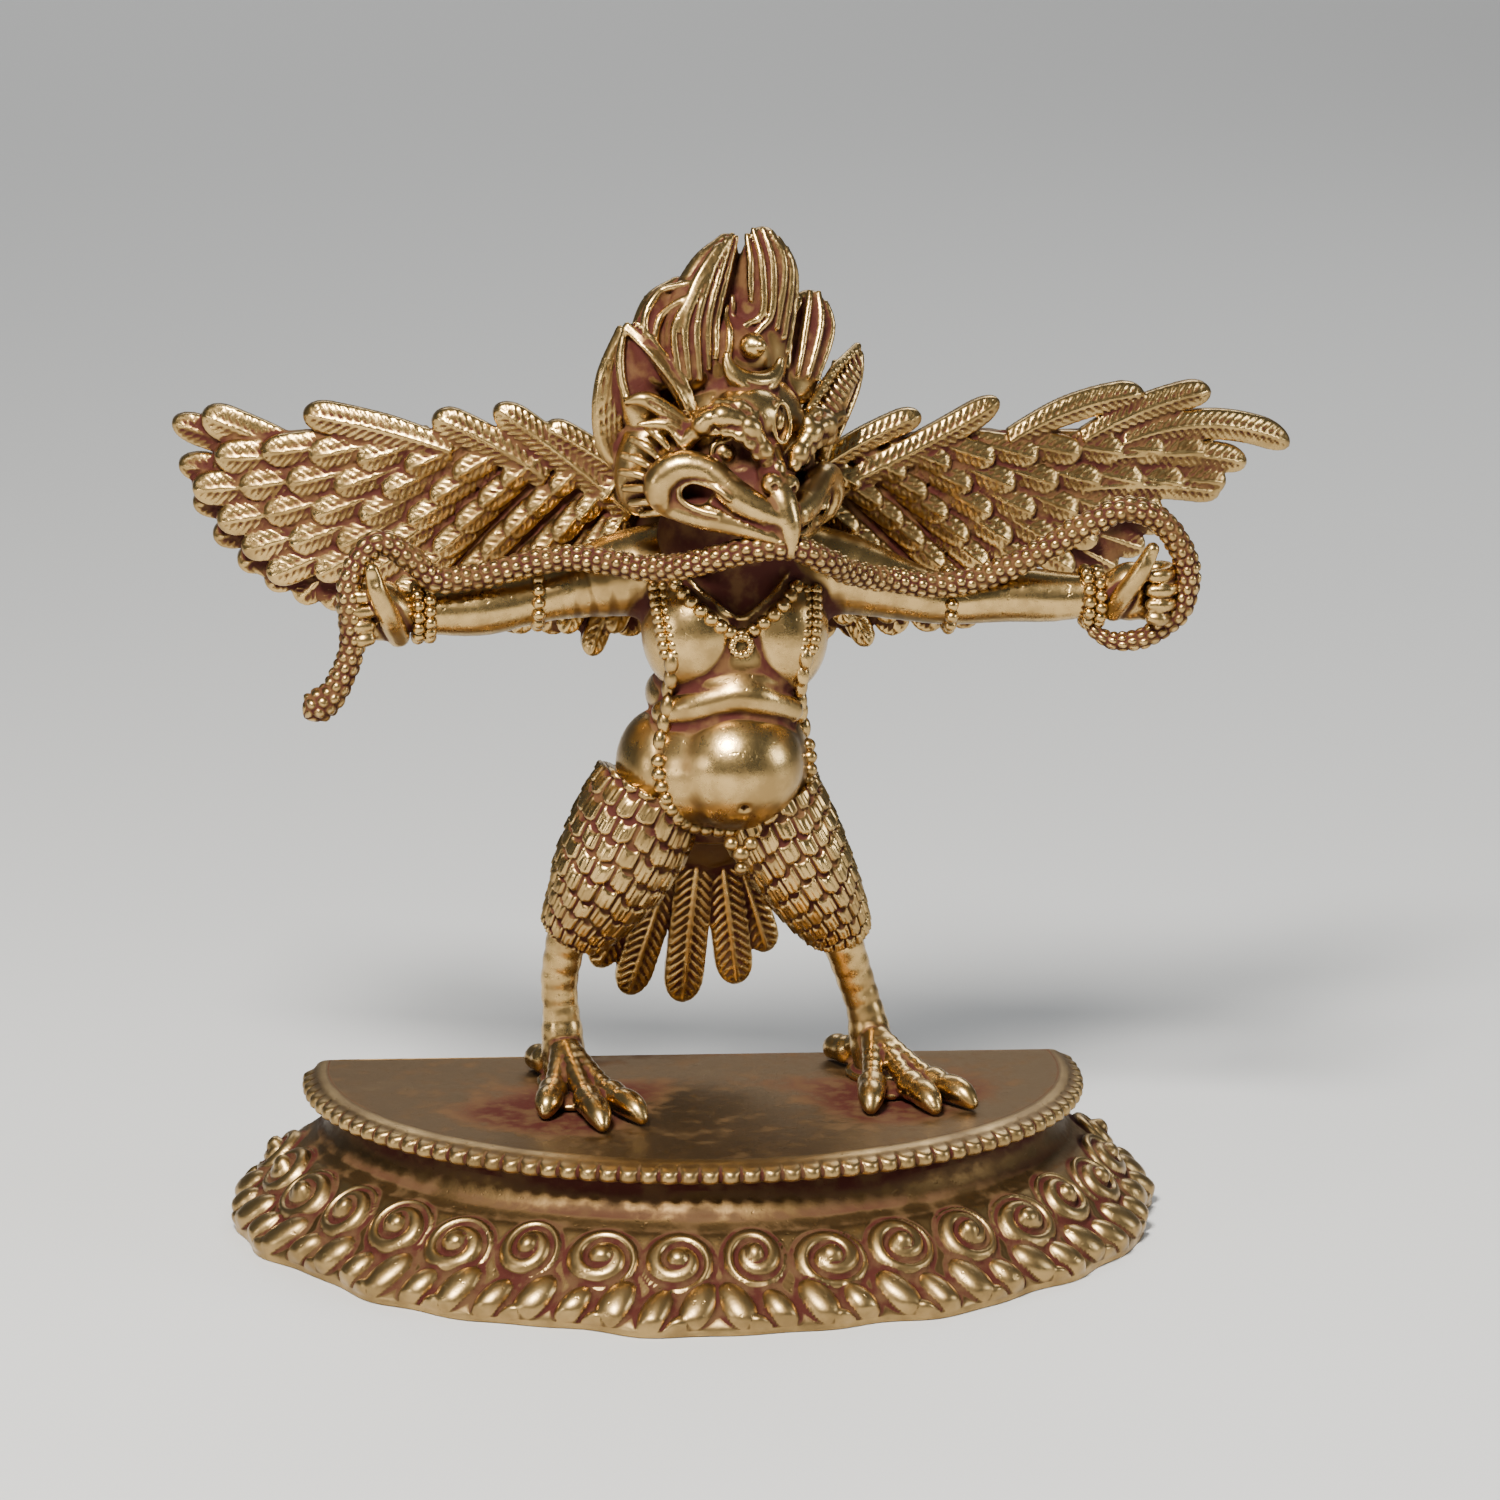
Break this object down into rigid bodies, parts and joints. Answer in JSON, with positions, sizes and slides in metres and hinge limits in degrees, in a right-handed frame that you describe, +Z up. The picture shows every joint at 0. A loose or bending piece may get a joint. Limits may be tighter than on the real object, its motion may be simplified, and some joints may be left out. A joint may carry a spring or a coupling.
{
  "type": "garuda figure",
  "caption": "Winged bird-king figure with flaming hair and a serpent held in beak and hands, standing on a half-oval plinth with a beaded rim and a scrolled skirt.",
  "frame": {"origin": "on the underside of the plinth, below the middle of the figure's shoulders", "axes": "+Z up, the figure faces -Y, and +X is on the figure's left-hand side, along the spread of the wings"},
  "size_m": [0.1152, 0.0561, 0.1024],
  "materials": {
    "gilt": "worn fire gilding over cast copper alloy, with red-brown patina in the hollows",
    "dark_gilt": "satin olive-brown bronze, gilded at the front edge, with red-brown patina round the feet and between the scrolls"
  },
  "bodies": {
    "root": {"plinth": "dark_gilt", "garuda_figure": "gilt"}
  },
  "joints": []
}
